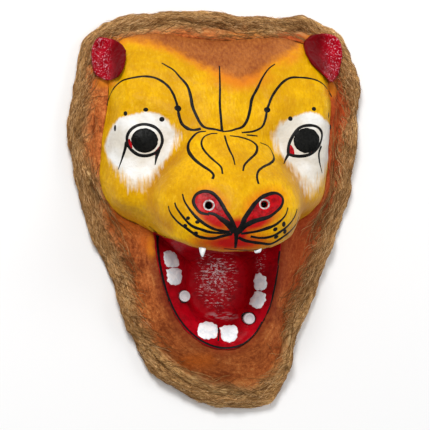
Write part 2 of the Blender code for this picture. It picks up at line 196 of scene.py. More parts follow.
# lumps of three sizes on the rolled rim, the bulges of the matting, and its creases
for size, depth, seed in ((0.03, 0.0046, 3), (0.012, 0.002, 7), (0.0045, 0.0012, 11)):
    shift = np.array([noise.noise(Vector(p) / size + Vector((seed, 0, 0))) for p in points])
    points += normals * (shift * depth * (0.25 + 0.75 * rolled) * above)[:, None]
SETTLED = [
    # bearing in degrees, and how far the soft matting bulges past the plain ring there in mm
    (0, 2), (20, 1), (45, 3), (60, 2), (70, 0.5), (85, 1.2), (105, -0.8), (122, -3), (132, 0),
    (148, -2.5), (160, -0.5), (178, -3), (200, 0), (218, -1), (232, -4), (241, -2.5), (250, -2.5),
    (263, -1), (275, 0), (281, 1.5), (286, 0.5), (296, 2), (310, 2.8), (318, 3), (328, 1.5),
    (340, 4), (350, 2.8),
]
bulge = np.interp(np.degrees(bearing) % 360, *np.array(SETTLED, float).T, period=360) * 0.001
bulge *= 1 - smooth_step(inset, 0.006, 0.034)
points[:, 0] += np.cos(bearing) * bulge
points[:, 1] += np.sin(bearing) * bulge
folds = np.array([abs(noise.noise(Vector((b * 0.9, r * 60, z * 40)))) for b, r, z in
                  zip(bearing, inset, points[:, 2])])
crease_and_shade = (1 - smooth_step(folds, 0.0, 0.09)) * rolled * smooth_step(inset, 0.001, 0.006)
CREASE_DEPTH = 0.0022
points -= normals * (crease_and_shade * CREASE_DEPTH * above)[:, None]
points[:, 2] = np.maximum(points[:, 2], 0)
move_to(body.data, points)
at = picture_of(points)
mouth_tree = tree_of([nodes["mouth"]])
from_mouth = np.array([mouth_tree.find_nearest(Vector(p))[3] for p in points])
# paint fields, in mm or picture pixels inside their edge
MEAN_REACH = 0.15
give(body.data, "around", bearing * MEAN_REACH)
give(body.data, "inset", inset)
give(body.data, "height", points[:, 2])
give(body.data, "from_mouth", from_mouth * 1000)
paint_start = 15.5 + 3.5 * smooth_step(at[:, 1], 300, 360)
paint_start -= 5.5 * smooth_step(at[:, 0], 300, 335) * (1 - smooth_step(at[:, 1], 220, 300))
paint_start -= 5 * (1 - smooth_step(at[:, 0], 90, 125)) * (1 - smooth_step(at[:, 1], 60, 120))
give(body.data, "painted", inset * 1000 - paint_start)
give(body.data, "crease_and_shade", crease_and_shade)
give(body.data, "stain", blob(at, 245, 36.5, 32, 6))
give(body.data, "bright", np.maximum.reduce([
    blob(at, 150, 238, 14, 20), blob(at, 122, 218, 34, 16, 35), blob(at, 200, 362, 26, 10),
]))
give(body.data, "amber", amber_at(at))
give(body.data, "chin", smooth_step(at[:, 1], 290, 350))
give(body.data, "right_red_and_shade", smooth_step(at[:, 0], 250, 310) * (1 - smooth_step(at[:, 1], 270, 360)))


def shade(tree, kind, props=None, sockets=None):
    """A new node with its settings and its inputs, which are sockets to link or values."""
    made = tree.nodes.new(kind)
    for key, value in (props or {}).items():
        setattr(made, key, value)
    for key, value in (sockets or {}).items():
        if isinstance(value, bpy.types.NodeSocket):
            tree.links.new(value, made.inputs[key])
        else:
            made.inputs[key].default_value = value
    return made


def mixed(tree, share, first, second):
    made = shade(tree, "ShaderNodeMix", {"data_type": "RGBA"}, {0: share, 6: first, 7: second})
    return made.outputs[2]


def maths(tree, operation, first, second=0.0, third=0.0, clamp=False):
    made = shade(tree, "ShaderNodeMath", {"operation": operation, "use_clamp": clamp},
                 {0: first, 1: second, 2: third})
    return made.outputs[0]


def field(tree, name):
    """A paint field that give() has stored on the mesh."""
    return shade(tree, "ShaderNodeAttribute", {"attribute_name": name}).outputs["Fac"]


def edge_mask(tree, value, low, high):
    """0 below low and 1 above high, softly; the other way round where high is the lesser."""
    made = shade(tree, "ShaderNodeMapRange", {"interpolation_type": "SMOOTHSTEP"},
                 {0: value, 1: low, 2: high, 3: 0.0, 4: 1.0})
    return made.outputs[0]


def ripple(tree, scale, detail=4.0, rough=0.55, where=None, distortion=0.0):
    """Noise over the surface, read from the object's own coordinates unless told where."""
    if where is None:
        where = shade(tree, "ShaderNodeTexCoord").outputs["Object"]
    made = shade(tree, "ShaderNodeTexNoise", None, {
        "Vector": where, "Scale": scale, "Detail": detail, "Roughness": rough, "Distortion": distortion,
    })
    return made.outputs["Fac"]


def rgb(red, green, blue):
    """A screen colour (0 to 255) as linear light."""
    return tuple((c / 255 / 12.92) if c < 10.3 else ((c / 255 + 0.055) / 1.055) ** 2.4
                 for c in (red, green, blue)) + (1.0,)


def material(name):
    made = bpy.data.materials.new(name)
    made.use_nodes = True
    return made, made.node_tree, made.node_tree.nodes["Principled BSDF"]


def glaze(tree, under, share, strength, colour):
    """A colour laid over another at a given strength, where share says."""
    return mixed(tree, maths(tree, "MULTIPLY", share, strength), under, colour)


def ragged_mask(tree, name, wobble, swing, low, high):
    """A paint field's edge, broken up by a noise that swings it to and fro."""
    return edge_mask(tree, maths(tree, "MULTIPLY_ADD", wobble, swing, field(tree, name)), low, high)


def three_tones(tree, value, *stops):
    """A ramp through three tones, each given with its place."""
    made = shade(tree, "ShaderNodeValToRGB", None, {"Fac": value})
    made.color_ramp.elements.new(stops[1][0])
    for stop, (place, tone) in zip(made.color_ramp.elements, stops):
        stop.position = place
        stop.color = tone
    return made.outputs[0]


streaks = bpy.data.node_groups.new("fibre streaks", "ShaderNodeTree")
streaks.interface.new_socket("Fineness", in_out="INPUT", socket_type="NodeSocketFloat")
streaks.interface.new_socket("Streak", in_out="OUTPUT", socket_type="NodeSocketFloat")
ends = (shade(streaks, "NodeGroupInput"), shade(streaks, "NodeGroupOutput"))
along = maths(streaks, "MULTIPLY", field(streaks, "around"), 38.0)
across = maths(streaks, "MULTIPLY", field(streaks, "inset"), ends[0].outputs["Fineness"])
lift = maths(streaks, "MULTIPLY", field(streaks, "height"), 300.0)
place = shade(streaks, "ShaderNodeCombineXYZ", None, {0: along, 1: across, 2: lift})
streak = ripple(streaks, 1.0, 5, 0.62, place.outputs[0], 0.6)
streaks.links.new(streak, ends[1].inputs["Streak"])

matted, tree, look = material("matted fibre")
streak_fine = shade(tree, "ShaderNodeGroup", {"node_tree": streaks}, {"Fineness": 900.0}).outputs[0]
streak_wide = shade(tree, "ShaderNodeGroup", {"node_tree": streaks}, {"Fineness": 260.0}).outputs[0]
# bare fibre: tangled tones, dusty and stained in places, with painted shade in the creases of the matting
tangle = maths(tree, "MULTIPLY", ripple(tree, 330, 4, 0.7), 0.38)
hair = three_tones(tree, maths(tree, "MULTIPLY_ADD", streak_fine, 0.62, tangle),
                   (0.39, rgb(100, 66, 34)), (0.5, rgb(220, 170, 104)), (0.62, rgb(255, 216, 156)))
dust_and_fold_shade = glaze(tree, hair, edge_mask(tree, ripple(tree, 24, 3), 0.42, 0.62), 0.5, rgb(168, 142, 98))
dust_and_fold_shade = glaze(tree, dust_and_fold_shade, edge_mask(tree, ripple(tree, 33, 4), 0.52, 0.68), 0.6, rgb(140, 82, 36))
stained = ragged_mask(tree, "stain", streak_wide, 8.0, 3.0, 8.0)
dust_and_fold_shade = glaze(tree, dust_and_fold_shade, stained, 0.7, rgb(222, 150, 34))
# painted shade: dark brown in the creases of the rolled rim
dust_and_fold_shade = glaze(tree, dust_and_fold_shade, field(tree, "crease_and_shade"), 0.7, rgb(60, 38, 18))
# painted slope: a mottled brown wash, livelier at the cheeks, redder and darker by the mouth and on the
# right side, where red paint and painted shade lie together
mottled = maths(tree, "MULTIPLY_ADD", ripple(tree, 320, 4, 0.7), 0.4,
                maths(tree, "MULTIPLY", ripple(tree, 38, 3, 0.6), 0.4))
wash = three_tones(tree, maths(tree, "MULTIPLY_ADD", streak_wide, 0.2, mottled),
                   (0.41, rgb(130, 56, 20)), (0.53, rgb(206, 112, 54)), (0.64, rgb(246, 164, 90)))
# darker red round the mouth: red paint with painted shade
mouth_red_and_shade = ragged_mask(tree, "from_mouth", ripple(tree, 60, 3), 9.0, 17.0, 5.0)
painted = glaze(tree, wash, mouth_red_and_shade, 0.75, rgb(112, 30, 18))
painted = glaze(tree, painted, field(tree, "chin"), 0.3, rgb(150, 70, 20))
lively = ragged_mask(tree, "bright", ripple(tree, 70, 4), 12.0, 4.0, 16.0)
painted = glaze(tree, painted, lively, 0.6, rgb(214, 104, 22))
painted = glaze(tree, painted, edge_mask(tree, ripple(tree, 900, 3, 0.7), 0.56, 0.4), 0.3, rgb(104, 46, 20))
# the right side darker and redder: red-brown paint with painted shade
painted = glaze(tree, painted, field(tree, "right_red_and_shade"), 0.65, rgb(168, 52, 18))
amber = ragged_mask(tree, "amber", ripple(tree, 110, 4), 9.0, 4.0, 11.0)
painted = glaze(tree, painted, amber, 0.75, rgb(226, 132, 26))
dust_and_fold_shade = glaze(tree, dust_and_fold_shade, amber, 0.6, rgb(222, 124, 30))
share = ragged_mask(tree, "painted", ripple(tree, 55, 4), 16.0, 0.0, 15.0)
tree.links.new(mixed(tree, share, dust_and_fold_shade, painted), look.inputs["Base Color"])
look.inputs["Roughness"].default_value = 0.8
look.inputs["Specular IOR Level"].default_value = 0.12
relief = maths(tree, "MULTIPLY_ADD", streak_fine, 0.6, maths(tree, "MULTIPLY", ripple(tree, 300, 4), 0.5))
deep = maths(tree, "MULTIPLY_ADD", share, -0.55, 0.9)
bump = shade(tree, "ShaderNodeBump", None, {"Strength": deep, "Distance": 0.0028, "Height": relief})
tree.links.new(bump.outputs[0], look.inputs["Normal"])
body.data.materials.append(matted)
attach(body, "root")
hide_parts("fibre_body")

# FACE. Paper moulded in high relief and painted satin yellow. Its fields say where the white
# eye patches, the red and orange glows of the muzzle and the brown band of the forehead lie.
face = fine_copy("face", "moulded_face", FINENESS)


def rough_up(points, normals, size, depth, seed):
    """Move points in and out along their normals by a smooth noise of this size."""
    shift = [noise.noise(Vector(p) / size + Vector((seed, 0, 0))) for p in points]
    return points + normals * np.array(shift)[:, None] * depth


def off_line(at, start, end):
    """Picture distance to the straight line between two picture points."""
    x, y = at[:, 0] - start[0], at[:, 1] - start[1]
    dx, dy = end[0] - start[0], end[1] - start[1]
    run = np.clip((x * dx + y * dy) / (dx * dx + dy * dy), 0, 1)
    return np.hypot(x - run * dx, y - run * dy)


def inside_of(at, rows):
    """Picture distance to a closed outline, positive inside it."""
    within = np.zeros(len(at), bool)
    nearest = np.full(len(at), 1e9)
    loop = np.array(rows, float)
    for start, end in zip(loop, np.roll(loop, -1, axis=0)):
        nearest = np.minimum(nearest, off_line(at, start, end))
        x, y = at[:, 0] - start[0], at[:, 1] - start[1]
        slope = (end[0] - start[0]) / (end[1] - start[1] + 1e-9)
        within ^= ((y < 0) != (at[:, 1] < end[1])) & (x < y * slope)
    return np.where(within, nearest, -nearest)


points = points_of(face.data)
normals = normals_of(face.data)
points = rough_up(points, normals, 0.02, 0.0011, 21)
points = rough_up(points, normals, 0.006, 0.0005, 27)
move_to(face.data, points)
at = picture_of(points)
# the hollow side is bare paper: no way out of it to the front, the chin or the sides
face_tree = tree_of([face])
normals = normals_of(face.data)
inside = np.ones(len(points))
CLEAR = 0.0004
SEAM = 0.006
for heading in ((0, 0, 1), (0, -1, 0), (1, 0, 0), (-1, 0, 0), (0, 1, 0)):
    for i in np.nonzero(inside)[0]:
        start = Vector(points[i]) + Vector(normals[i]) * CLEAR
        if face_tree.ray_cast(start, Vector(heading))[0] is None:
            inside[i] = 0
hollow_side = np.nonzero(inside)[0]
beside = tree_of([body])
for i in hollow_side:
    if beside.find_nearest(Vector(points[i]), SEAM)[0] is not None:
        inside[i] = 0
give(face.data, "inside", inside)
LEFT_WHITE = [(121, 116.5), (133, 113.5), (146, 110.5), (160, 113), (170, 120), (182, 133.7), (180, 141),
              (176, 150), (167, 162), (160, 172), (153, 186), (143, 193), (128, 192), (119, 182),
              (111, 169), (105.5, 157), (104, 146), (106, 137), (110, 129), (116, 119.5)]
RIGHT_WHITE = [(269.8, 131.6), (280, 121), (290.4, 117), (300, 113.8), (309.6, 110.4), (319.2, 113.2),
               (327, 120), (334, 127.5), (335, 137), (333, 150.8), (331, 161.8), (328.7, 176),
               (323, 190), (313, 198), (302, 196), (296, 184), (290.5, 170), (283, 159.7),
               (276, 153.2), (271.6, 142.6)]
white = np.maximum(inside_of(at, LEFT_WHITE), inside_of(at, RIGHT_WHITE))
give(face.data, "white", white)
inner_side = np.where(at[:, 0] < CENTRE, smooth_step(at[:, 0], 163, 180),
                      1 - smooth_step(at[:, 0], 273, 290))
give(face.data, "fade", np.maximum(smooth_step(at[:, 1], 150, 186), 0.55 * inner_side))
give(face.data, "amber", amber_at(at))
FOREHEAD_EDGE = [(98, 30), (108, 33), (122, 37.5), (131, 39), (149, 42), (163, 46), (178, 52.5),
                 (188, 58.5), (200, 65), (215, 71), (228.7, 77), (242, 80.5), (256, 75), (265.7, 68.6),
                 (276.7, 60), (286, 55), (297, 46.6), (303, 40), (311, 33), (330, 28)]
edge_x, edge_y = np.array(FOREHEAD_EDGE, float).T
give(face.data, "brown", np.interp(at[:, 0], edge_x, edge_y) - at[:, 1])
give(face.data, "glow", np.maximum.reduce([
    blob(at, 242, 79, 40, 15), blob(at, 98, 95, 10, 26), blob(at, 294, 58, 22, 8, -38),
]))
give(face.data, "shaded", np.maximum(blob(at, 128, 222, 34, 13, 28), blob(at, 318, 205, 30, 10, -40)))
NOSTRIL_RED = [
    [(194.6, 203), (196.4, 196.6), (201, 193.6), (206, 192.6), (212, 194.8), (217, 199.6),
     (221.4, 206.4), (225.4, 213.6), (229.6, 220), (224, 219), (216, 213.6), (208, 211.8),
     (199, 210)],
    [(243, 224), (247, 216), (252.4, 209.4), (258.4, 202), (264, 198), (270.4, 195.4),
     (276, 195), (280.2, 197.6), (281.2, 201.4), (279, 206.6), (273.8, 211.4),
     (267.6, 215), (260, 217.4), (252, 219.6)],
]
give(face.data, "red", np.maximum.reduce([
    3 * inside_of(at, NOSTRIL_RED[0]) + 9, 3 * inside_of(at, NOSTRIL_RED[1]) + 9,
    blob(at, 232, 243, 44, 10), blob(at, 237, 232, 15, 17), blob(at, 257, 223, 27, 9, -22),
    blob(at, 215, 221, 25, 9, 33),
]))
give(face.data, "orange", np.maximum.reduce([
    blob(at, 210, 204, 25, 19, 30), blob(at, 263, 205, 27, 18, -30), blob(at, 236, 240, 46, 15),
]))
# the foot of the muzzle, beside which painted shade and a brownish wash lie in the valley
MUZZLE_FOOT = [
    [(187, 146.7), (167.7, 164.8), (156.3, 176.3), (150, 189), (150, 201.6), (155, 212), (163.5, 222.7),
     (170.6, 228)],
    [(283.8, 159.4), (296.5, 174), (303.5, 189), (305.5, 201.6), (302, 214.3), (296.5, 225), (288, 235)],
]
valley_shade = np.full(len(points), -50.0)
for rows in MUZZLE_FOOT:
    for start, end in zip(rows, rows[1:]):
        valley_shade = np.maximum(valley_shade, -off_line(at, start, end))
give(face.data, "valley_shade", valley_shade)

paper = bpy.data.node_groups.new("moulded paper relief", "ShaderNodeTree")
paper.interface.new_socket("Depth", in_out="INPUT", socket_type="NodeSocketFloat")
paper.interface.new_socket("Normal", in_out="OUTPUT", socket_type="NodeSocketVector")
ends = (shade(paper, "NodeGroupInput"), shade(paper, "NodeGroupOutput"))
lumps = ripple(paper, 55, 5, 0.6)
grain = ripple(paper, 420, 3, 0.6)
both = maths(paper, "MULTIPLY_ADD", grain, 0.22, lumps)
bump = shade(paper, "ShaderNodeBump", None, {
    "Strength": ends[0].outputs["Depth"], "Distance": 0.0022, "Height": both})
paper.links.new(bump.outputs[0], ends[1].inputs["Normal"])


def paper_paint(tree, look, base, rough, gloss, depth):
    """Finish a paint that lies on moulded paper, whose lumps show through by depth."""
    tree.links.new(base, look.inputs["Base Color"])
    look.inputs["Roughness"].default_value = rough
    look.inputs["Specular IOR Level"].default_value = gloss
    dent = shade(tree, "ShaderNodeGroup", {"node_tree": paper}, {"Depth": depth})
    tree.links.new(dent.outputs[0], look.inputs["Normal"])


def drawn_out(tree, scale, turn=0.0):
    """Object coordinates that draw a noise out into brush marks, or turn it."""
    mapping = shade(tree, "ShaderNodeMapping", None, {
        "Vector": shade(tree, "ShaderNodeTexCoord").outputs["Object"],
        "Rotation": (0, 0, turn), "Scale": scale})
    return mapping.outputs[0]


yellow, tree, look = material("yellow paint")
patches = ripple(tree, 26, 4, 0.6)
dabbed = ripple(tree, 150, 4, 0.6)
base = mixed(tree, edge_mask(tree, patches, 0.35, 0.7), rgb(208, 150, 0), rgb(240, 184, 0))
base = glaze(tree, base, edge_mask(tree, dabbed, 0.5, 0.8), 0.3, rgb(250, 206, 40))
fine = ripple(tree, 520, 4, 0.65, drawn_out(tree, (1.0, 0.35, 0.6), 0.7))
base = glaze(tree, base, edge_mask(tree, fine, 0.55, 0.38), 0.4, rgb(196, 134, 0))
base = glaze(tree, base, edge_mask(tree, fine, 0.6, 0.72), 0.4, rgb(255, 216, 70))
# painted shade and a brownish wash in the valley round the muzzle, then its orange and red, and the glow
# under the brown band
for name, wobble, swing, low, high, strength, tone in (
    ("valley_shade", dabbed, 9.0, -5.0, 6.0, 0.55, (170, 100, 6)),
    ("orange", patches, 16.0, 6.0, 19.0, 0.6, (222, 92, 8)),
    ("glow", patches, 14.0, 5.0, 18.0, 0.75, (220, 120, 30)),
    ("red", patches, 10.0, 3.0, 12.0, 1.0, (178, 18, 14)),
    ("amber", patches, 9.0, 5.0, 12.0, 0.7, (226, 118, 14)),
    ("brown", dabbed, 14.0, -3.0, 8.0, 0.7, (222, 120, 26)),
):
    mask = ragged_mask(tree, name, wobble, swing, low, high)
    base = glaze(tree, base, mask, strength, rgb(*tone))
brown = ragged_mask(tree, "brown", dabbed, 14.0, 2.0, 15.0)
daub = maths(tree, "MULTIPLY_ADD", fine, 0.5, maths(tree, "MULTIPLY", patches, 0.5))
band = mixed(tree, edge_mask(tree, daub, 0.36, 0.66), rgb(140, 70, 30), rgb(184, 110, 50))
base = mixed(tree, brown, base, band)
# the white patches, feathered by the brush where they fade downward and inward
feather = maths(tree, "MULTIPLY_ADD", field(tree, "fade"), 13.0, 2.2)
brushed = ripple(tree, 130, 4, 0.6, drawn_out(tree, (3.2, 0.55, 0.8)))
ragged = maths(tree, "MULTIPLY", maths(tree, "SUBTRACT", brushed, 0.5),
               maths(tree, "MULTIPLY", feather, 2.2))
white_share = maths(tree, "DIVIDE", maths(tree, "ADD", field(tree, "white"), ragged), feather, clamp=True)
chalk = mixed(tree, edge_mask(tree, patches, 0.4, 0.62), rgb(222, 214, 200), rgb(242, 240, 236))
base = mixed(tree, white_share, base, chalk)
low_side = ragged_mask(tree, "shaded", patches, 9.0, 3.0, 15.0)
base = glaze(tree, base, low_side, 0.45, rgb(196, 104, 22))
bare = mixed(tree, ripple(tree, 120, 5), rgb(92, 66, 44), rgb(150, 118, 84))
base = mixed(tree, field(tree, "inside"), base, bare)
paper_paint(tree, look, base, 0.4, 0.1, 0.95)
face.data.materials.append(yellow)
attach(face, "root")
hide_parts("face")

# MOUTH. A bowl of rough paper in glossy red enamel. It is pale along the ledge, dry-brush wear with a
# painted highlight, has painted highlights as bright flecks on the floor where the gloss catches the light,
# and its low floor is painted brighter red as painted light. It is let into the body under the muzzle, and
# the face's inner side is drawn onto its edge, so that no slit is left there.
mouth = fine_copy("mouth", "red_mouth", FINENESS)
points = points_of(mouth.data)
normals = normals_of(mouth.data)
points = rough_up(points, normals, 0.012, 0.0008, 31)
points = rough_up(points, normals, 0.004, 0.0005, 37)
move_to(mouth.data, points)
mouth_tree = tree_of([mouth])
lining = points_of(face.data)
outward = normals_of(face.data)
beside_hollow = set(hollow_side)
LOW_EDGE = 0.06
EDGE_REACH = 0.018
LET_INTO = 0.0003
for i in np.union1d(hollow_side, np.nonzero(lining[:, 2] < LOW_EDGE)[0]):
    here = Vector(lining[i])
    near, out, _, far = mouth_tree.find_nearest(here, EDGE_REACH)
    if near is None:
        continue
    if i in beside_hollow or (near - here).dot(Vector(outward[i])) > 0.05 * far:
        inside[i] = 0
        near -= out * LET_INTO
        lining[i] = near + (here - near) * smooth_step(far, 0.012, 0.017)
move_to(face.data, lining)
face.data.attributes["inside"].data.foreach_set("value", np.asarray(inside, np.float32))
at = picture_of(points)
steep = 12 * smooth_step(points[:, 2], 0.03, 0.05)
# painted highlights: pale flecks and flakes on the floor where the gloss catches the light
give(mouth.data, "highlight_flecks", np.maximum.reduce([
    blob(at, 216, 277, 22, 34), blob(at, 262, 262, 7, 18), blob(at, 224, 251, 18, 7),
]) - steep)
give(mouth.data, "highlight_flakes", blob(at, 215, 277, 13, 17))
# pale along the ledge: dry-brush wear with a painted highlight
give(mouth.data, "rubbed_and_highlit", blob(at, 222, 316, 20, 5.5, 3))
# the low floor, to be painted brighter red: painted light against the shade in the bowl
give(mouth.data, "low", 1 - smooth_step(points[:, 2], 0.018, 0.03))


def speckle_mask(tree, name, low, high, wobble, dull, bright):
    """The specks of a noise, only inside a paint field."""
    return maths(tree, "MULTIPLY", edge_mask(tree, field(tree, name), low, high),
                 edge_mask(tree, wobble, dull, bright))


enamel, tree, look = material("red enamel")
patches = ripple(tree, 45, 4, 0.6)
dry = drawn_out(tree, (0.4, 1.5, 1.0))
glint_specks = ripple(tree, 520, 3, 0.7, dry)
combed = ripple(tree, 330, 3, 0.6, dry)
base = mixed(tree, edge_mask(tree, patches, 0.3, 0.7), rgb(140, 0, 12), rgb(184, 2, 22))
# painted light: a brighter red on the low floor
base = glaze(tree, base, field(tree, "low"), 0.6, rgb(200, 2, 24))
for name, low, high, wobble, dull, bright, strength, tone in (
    ("highlight_flakes", -3.0, 7.0, ripple(tree, 420, 4, 0.75), 0.53, 0.57, 1.0, (244, 226, 228)),
    ("highlight_flecks", -2.0, 7.0, glint_specks, 0.57, 0.62, 1.0, (244, 214, 216)),
    ("rubbed_and_highlit", 0.0, 3.0, combed, 0.46, 0.56, 0.6, (206, 172, 174)),
):
    mask = speckle_mask(tree, name, low, high, wobble, dull, bright)
    base = glaze(tree, base, mask, strength, rgb(*tone))
blotch = edge_mask(tree, ripple(tree, 130, 4, 0.7), 0.5, 0.38)
base = glaze(tree, base, blotch, 0.35, rgb(92, 0, 8))
paper_paint(tree, look, base, 0.34, 0.06, 0.5)
mouth.data.materials.append(enamel)
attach(mouth, "root")
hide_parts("mouth")

# EARS. Two teardrop pads of padded paper in glossy red, with painted shade on their inner side and painted
# highlights flecked on the outer, let down into the top corners of the body. Each is stretched about the
# side that stays still, and carried by the level of what lies under it.
under_ears = tree_of([face, body])
OVER_ALL = 0.3  # higher than any piece


def height_under(points):
    """The level of the face and the body straight below each point."""
    down = Vector((0, 0, -1))
    hits = [under_ears.ray_cast(Vector((x, y, OVER_ALL)), down)[0] for x, y, _ in points]
    return np.array([hit.z if hit is not None else 0.01 for hit in hits])


UNEVEN = 0.004
LET_DOWN = 0.0012
for side, cx, still, stretch, step_x, step_y in (("left", 110, -0.0787, 0.905, 0.0, 0.0006),
                                                 ("right", 325, 0.072, 1.046, 0.0013, 0.0013)):
    ear = fine_copy("ear_" + side, side + "_ear", FINENESS)
    points = points_of(ear.data)
    carried = height_under(points)
    points[:, 0] = still + (points[:, 0] - still) * stretch + step_x
    points[:, 1] += step_y
    change = height_under(points) - carried
    even = abs(change) < UNEVEN
    flat = np.c_[points[:, :2], np.ones(len(points))]
    points[:, 2] += flat @ np.linalg.lstsq(flat[even], change[even], rcond=None)[0]
    normals = normals_of(ear.data)
    points[normals[:, 2] < -0.2, 2] -= LET_DOWN
    points = rough_up(points, normals, 0.008, 0.0008, 41)
    points = rough_up(points, normals, 0.0026, 0.0005, 43)
    move_to(ear.data, points)
    at = picture_of(points)
    outer = (at[:, 0] - cx) * (-1 if side == "left" else 1)
    give(ear.data, "outer", outer)
    red_ear, tree, look = material(side + " ear paint")
    patches = ripple(tree, 70, 4, 0.6)
    base = mixed(tree, edge_mask(tree, patches, 0.3, 0.7), rgb(140, 0, 14), rgb(180, 4, 32))
    # painted shade: dark red on each ear's inner side, toward the face
    deep = ragged_mask(tree, "outer", patches, 9.0, 10.0, -3.0)
    base = glaze(tree, base, deep, 0.95, rgb(100, 0, 6))
    # painted highlights: pale specks on each ear's outer side
    highlight_specks = speckle_mask(tree, "outer", -4.0, 6.0, ripple(tree, 620, 3, 0.75), 0.56, 0.63)
    base = glaze(tree, base, highlight_specks, 0.8, rgb(240, 176, 190))
    paper_paint(tree, look, base, 0.3, 0.07, 0.5)
    ear.data.materials.append(red_ear)
    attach(ear, "root")
    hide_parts("ear_" + side)

# PEGS. The two lower canines: short round plaster stubs with dished ends, set in holes in
# the gum ledge. Their sides are painted darker grey toward the ledge: painted shade.
for side in ("left", "right"):
    peg = fine_copy("canine_" + side, side + "_canine_stub", 1)
    points = points_of(peg.data)
    give(peg.data, "up", (points[:, 2] - points[:, 2].min()) * 1000)
    plaster, tree, look = material(side + " stub")
    # painted shade: darker grey low on each stub, near the ledge
    lower_shade = ragged_mask(tree, "up", ripple(tree, 300, 3), 1.2, 6.8, 5.4)
    tree.links.new(mixed(tree, lower_shade, rgb(214, 208, 210), rgb(120, 84, 86)), look.inputs["Base Color"])
    look.inputs["Roughness"].default_value = 0.5
    peg.data.materials.append(plaster)
    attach(peg, "root")
    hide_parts("canine_" + side)

# BLACK LINE WORK. Thick black paint laid on with a fine brush: brows, forehead lines, nose
# folds, eye rings, nostril outlines and whiskers, each drawn as picture points. A stroke is a
# ribbon on the surface that the eye sees there, its edges let in and its middle raised.
ground = tree_of([face, mouth, body])
BRUSH_SPREAD = 1.9
LET_IN = -0.12  # mm
STEP_DOWN = 0.0036
DAB_SIDES = 14


def sight(px, py):
    """The direction from the eye through a picture point."""
    across = (px - CENTRE) / PIXELS_PER_SLOPE
    up = (CENTRE - py) / PIXELS_PER_SLOPE
    return facing @ Vector((across, up, -1)).normalized()


def curve_through(rows):
    """Catmull-Rom points about a pixel apart through picture points."""
    knots = [np.array(r, float) for r in rows]
    knots = [2 * knots[0] - knots[1]] + knots + [2 * knots[-1] - knots[-2]]
    out = []
    for a, b, c, d in zip(knots, knots[1:], knots[2:], knots[3:]):
        count = max(1, int(round(np.linalg.norm(c - b))))
        for t in np.arange(count) / count:
            out.append(0.5 * (2 * b + (c - a) * t + (2 * a - 5 * b + 4 * c - d) * t * t
                              + (3 * b - a - 3 * c + d) * t**3))
    out.append(knots[-2])
    return np.array(out)


def spread_on(spot, normal, aside, lift):
    """A point on the painted surface a little to one side of a spot, raised by lift."""
    near, out, _, _ = ground.find_nearest(spot + aside)
    if out.dot(normal) < 0:
        out = normal
    return near + out * lift


def stroke(brush, rows, widths, height=0.16, closed=False):
    """Add one ribbon to the brush's paint, its widths in pixels at the start, middle and end
    before the brush spreads. It stops where the surface falls away and starts again beyond."""
    line = curve_through(rows)
    if closed:
        line = line[:-1]
    hits = [(*ground.ray_cast(eye, sight(*p))[:2], p) for p in line]
    hits = [hit for hit in hits if hit[0] is not None]
    line = [hit[2] for hit in hits]
    spots = [hit[0] for hit in hits]
    normals = [n if n.dot(eye - s) > 0 else -n for s, n, _ in hits]
    count = len(line)
    run = np.linspace(0, 1, count)
    width = BRUSH_SPREAD * np.interp(run, [0, 0.5, 1], widths) * MM_PER_PIXEL * 0.001
    width *= 1 + 0.16 * np.array([noise.noise(Vector((p[0] / 6, p[1] / 6, 0.3))) for p in line])
    sides = []
    for i in range(count):
        before = spots[i - 1] if closed or i else spots[0]
        after = spots[(i + 1) % count] if closed or i < count - 1 else spots[i]
        sides.append(normals[i].cross(after - before).normalized())
    last = count if closed else count - 1
    whole = [(spots[(i + 1) % count] - spots[i]).length < STEP_DOWN for i in range(last)]
    rows_of = []
    shoulder = height * 0.8
    for offset, lift in ((-0.5, LET_IN), (-0.3, shoulder), (0, height), (0.3, shoulder), (0.5, LET_IN)):
        rows_of.append([
            brush.verts.new(spread_on(spots[i], normals[i], sides[i] * width[i] * offset, lift * 0.001))
            for i in range(count)
        ])
    for first, second in zip(rows_of, rows_of[1:]):
        for i in range(last):
            j = (i + 1) % count
            if whole[i]:
                brush.faces.new([first[i], first[j], second[j], second[i]])


def dab(brush, cx, cy, across, along, height):
    """Add one small round dot, its half-sizes in pixels."""
    spot, normal, _, _ = ground.ray_cast(eye, sight(cx, cy))
    if normal.dot(eye - spot) < 0:
        normal = -normal
    right = facing @ Vector((1, 0, 0))
    right = (right - normal * right.dot(normal)).normalized()
    up = normal.cross(right)
    rings = []
    for share, lift in ((1.0, -0.15), (0.85, 0.8), (0.5, 1.0)):
        ring = []
        for turn in np.arange(DAB_SIDES) * math.tau / DAB_SIDES:
            wobble = 1 + 0.1 * noise.noise(Vector((cx + math.cos(turn), cy + math.sin(turn), 2.2)))
            reach = share * wobble * MM_PER_PIXEL * 0.001
            aside = right * math.cos(turn) * across * reach + up * math.sin(turn) * along * reach
            ring.append(brush.verts.new(spread_on(spot, normal, aside, lift * height * 0.001)))
        rings.append(ring)
    for first, second in zip(rings, rings[1:]):
        for i in range(DAB_SIDES):
            j = (i + 1) % DAB_SIDES
            brush.faces.new([first[i], first[j], second[j], second[i]])
    brush.faces.new(rings[-1])


def finish_paint(brush, name, paint):
    """Make a piece of what the brush has laid."""
    bmesh.ops.recalc_face_normals(brush, faces=brush.faces)
    mesh = bpy.data.meshes.new(name)
    brush.to_mesh(mesh)
    brush.free()
    mesh.shade_smooth()
    mesh.materials.append(paint)
    piece = placed(name, mesh)
    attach(piece, "root")


def plain_paint(name, first, second, scale, rough, depth=0.3, gloss=0.3):
    """A paint of two close tones, mottled at a scale."""
    made, tree, look = material(name)
    share = edge_mask(tree, ripple(tree, scale, 4, 0.6), 0.38, 0.62)
    paper_paint(tree, look, mixed(tree, share, first, second), rough, gloss, depth)
    return made


